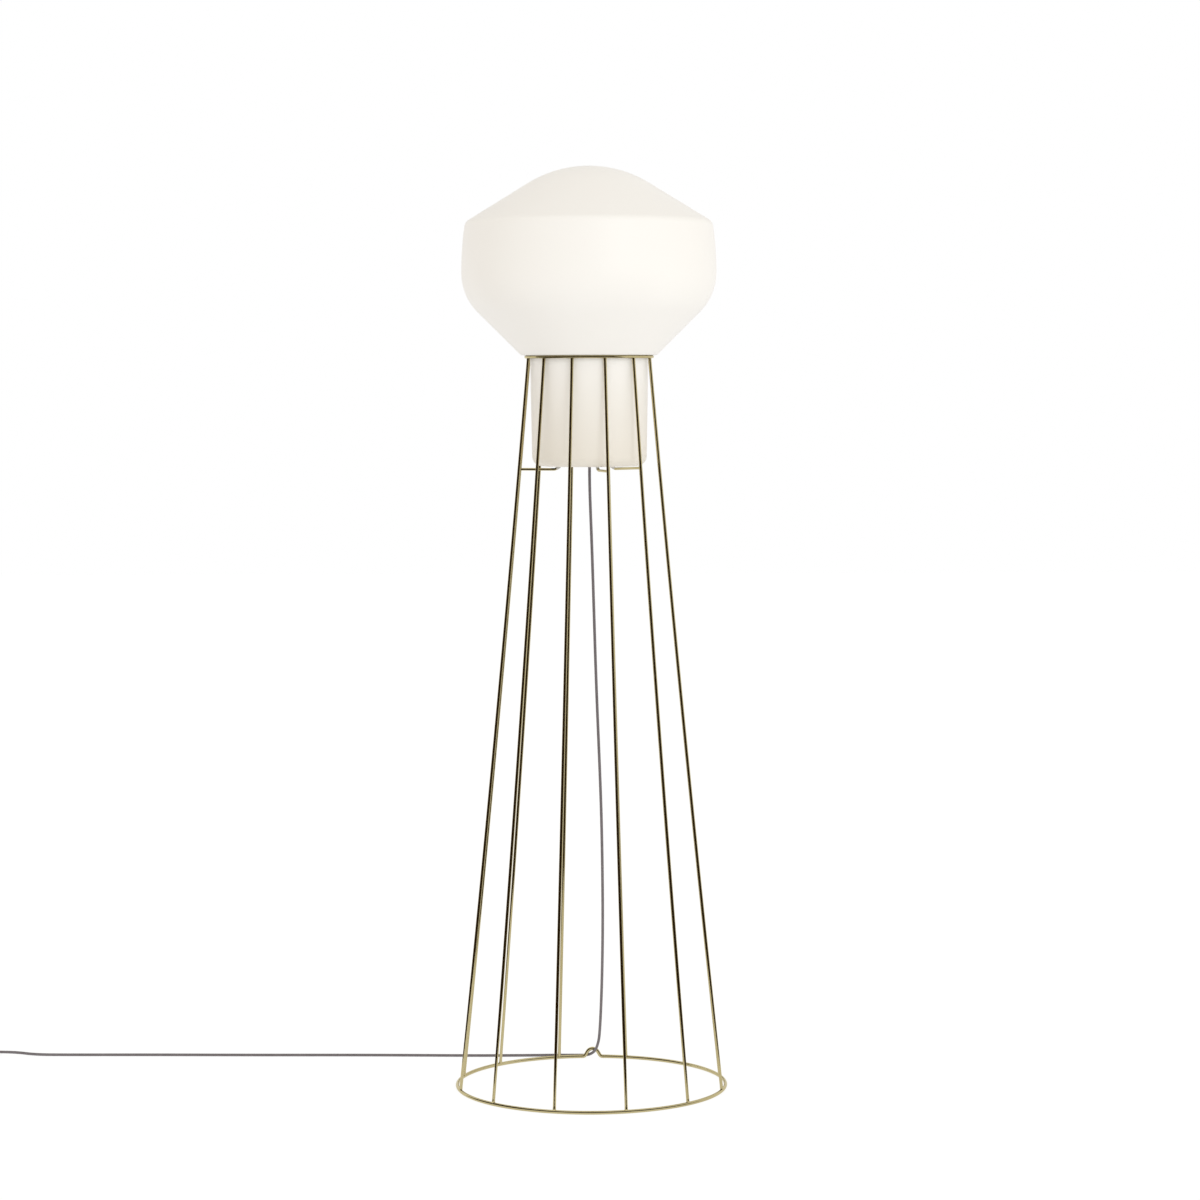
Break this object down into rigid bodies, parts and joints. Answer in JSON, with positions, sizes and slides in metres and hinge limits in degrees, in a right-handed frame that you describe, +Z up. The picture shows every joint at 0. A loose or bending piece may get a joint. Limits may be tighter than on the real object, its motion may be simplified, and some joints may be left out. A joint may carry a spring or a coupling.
{
  "type": "wire cage floor lamp",
  "caption": "Floor lamp: slightly bowed wires between a large floor ring and a small top ring carry an opal glass shade like a mushroom cap, with its cord, foot switch and plug.",
  "frame": {"origin": "on the floor, on the axis of the cage", "axes": "+Z up, -Y to the front, +X to the right as seen from the front; the cord leaves through the arch in the floor ring at +Y and runs along -X"},
  "size_m": [1.2765, 0.4105, 1.2627],
  "materials": {
    "cage_wire": "satin brass-plated steel wire, lacquered, pale and slightly green",
    "clear_cap": "cloudy clear silicone",
    "opal_glass": "triplex opal glass, satin outside, not see-through",
    "white_steel": "white powder coat",
    "zinc_steel": "bright zinc plate",
    "holder_plastic": "white moulded thermoplastic",
    "insert_ceramic": "unglazed white steatite",
    "contact_brass": "stamped spring brass",
    "cap_nickel": "nickel-plated",
    "cap_insulator": "black vitreous insulator",
    "bulb_white": "white moulded plastic",
    "led_board": "white solder mask on aluminium",
    "bulb_opal": "frosted opal plastic",
    "cord_sheath": "smooth grey PVC sheath",
    "core_brown": "PVC core insulation",
    "core_blue": "PVC core insulation",
    "tie_cloth": "soft hook-and-loop tape",
    "switch_plastic": "grey moulded plastic, fine satin grain",
    "switch_button": "grey moulded plastic, smoother than the shell",
    "switch_inner": "pale moulded contact block",
    "pin_nickel": "nickel-plated brass pins",
    "sleeve_black": "black insulating sleeves"
  },
  "bodies": {
    "stand": {"base_ring": "cage_wire", "top_ring": "cage_wire", "upright_01": "cage_wire", "upright_02": "cage_wire", "upright_03": "cage_wire", "upright_04": "cage_wire", "upright_05": "cage_wire", "upright_06": "cage_wire", "upright_07": "cage_wire", "upright_08": "cage_wire", "upright_09": "cage_wire", "upright_10": "cage_wire", "upright_11": "cage_wire", "upright_12": "cage_wire", "support_hook_1": "cage_wire", "support_hook_2": "cage_wire", "support_hook_3": "cage_wire", "hook_tip_caps": "clear_cap", "carrier_plate": "white_steel", "stem_tube": "zinc_steel", "stem_nut_lower": "zinc_steel", "lock_washer": "zinc_steel", "stem_nut_upper": "zinc_steel", "grip_screw": "zinc_steel", "cord_grip": "holder_plastic", "holder_set_screw": "zinc_steel", "holder_cap": "holder_plastic", "holder_shell": "holder_plastic", "holder_insert": "insert_ceramic", "terminal_screws": "zinc_steel", "thread_sleeve": "contact_brass", "centre_contact": "contact_brass", "side_contact": "contact_brass", "cord_drop": "cord_sheath", "cord_floor": "cord_sheath", "cord_in_stem": "cord_sheath", "core_left": "core_brown", "core_right": "core_blue", "cord_coil": "cord_sheath", "cord_switch_to_coil": "cord_sheath", "cord_coil_to_plug": "cord_sheath", "coil_tie": "tie_cloth", "footswitch_base": "switch_plastic", "footswitch_cover": "switch_plastic", "footswitch_contacts": "switch_inner", "footswitch_spring": "zinc_steel", "footswitch_screws": "zinc_steel", "footswitch_reliefs": "switch_plastic", "plug_body": "switch_plastic", "plug_pins": "pin_nickel", "plug_pin_sleeves": "sleeve_black"},
    "shade": {"shade_glass": "opal_glass"},
    "bulb_tip": {"bulb_tip_contact": "cap_nickel"},
    "bulb": {"bulb_screw_cap": "cap_nickel", "bulb_insulator": "cap_insulator", "bulb_housing": "bulb_white", "bulb_led_board": "led_board", "bulb_envelope": "bulb_opal"},
    "switch_button": {"footswitch_button": "switch_button"}
  },
  "joints": [
    {"name": "shade_lift", "type": "slide", "parent": "stand", "child": "shade", "axis": [0, 0, 1], "range_m": [0, 0.3]},
    {"name": "bulb_travel", "type": "slide", "parent": "stand", "child": "bulb_tip", "axis": [0, 0, 1], "range_m": [0, 0.0182]},
    {"name": "bulb_turn", "type": "hinge", "parent": "bulb_tip", "child": "bulb", "pos_m": [0, 0, 1.05], "axis": [0, 0, 1], "range_deg": [0, 1800]},
    {"name": "button_press", "type": "slide", "parent": "stand", "child": "switch_button", "axis": [0, 0, -1], "range_m": [0, 0.003], "stiffness_N_per_m": 300, "deforming": ["footswitch_spring"]}
  ],
  "couplings": [
    {"joint": "bulb_travel", "follows": "bulb_turn", "m_per_rad": 0.00057757}
  ]
}
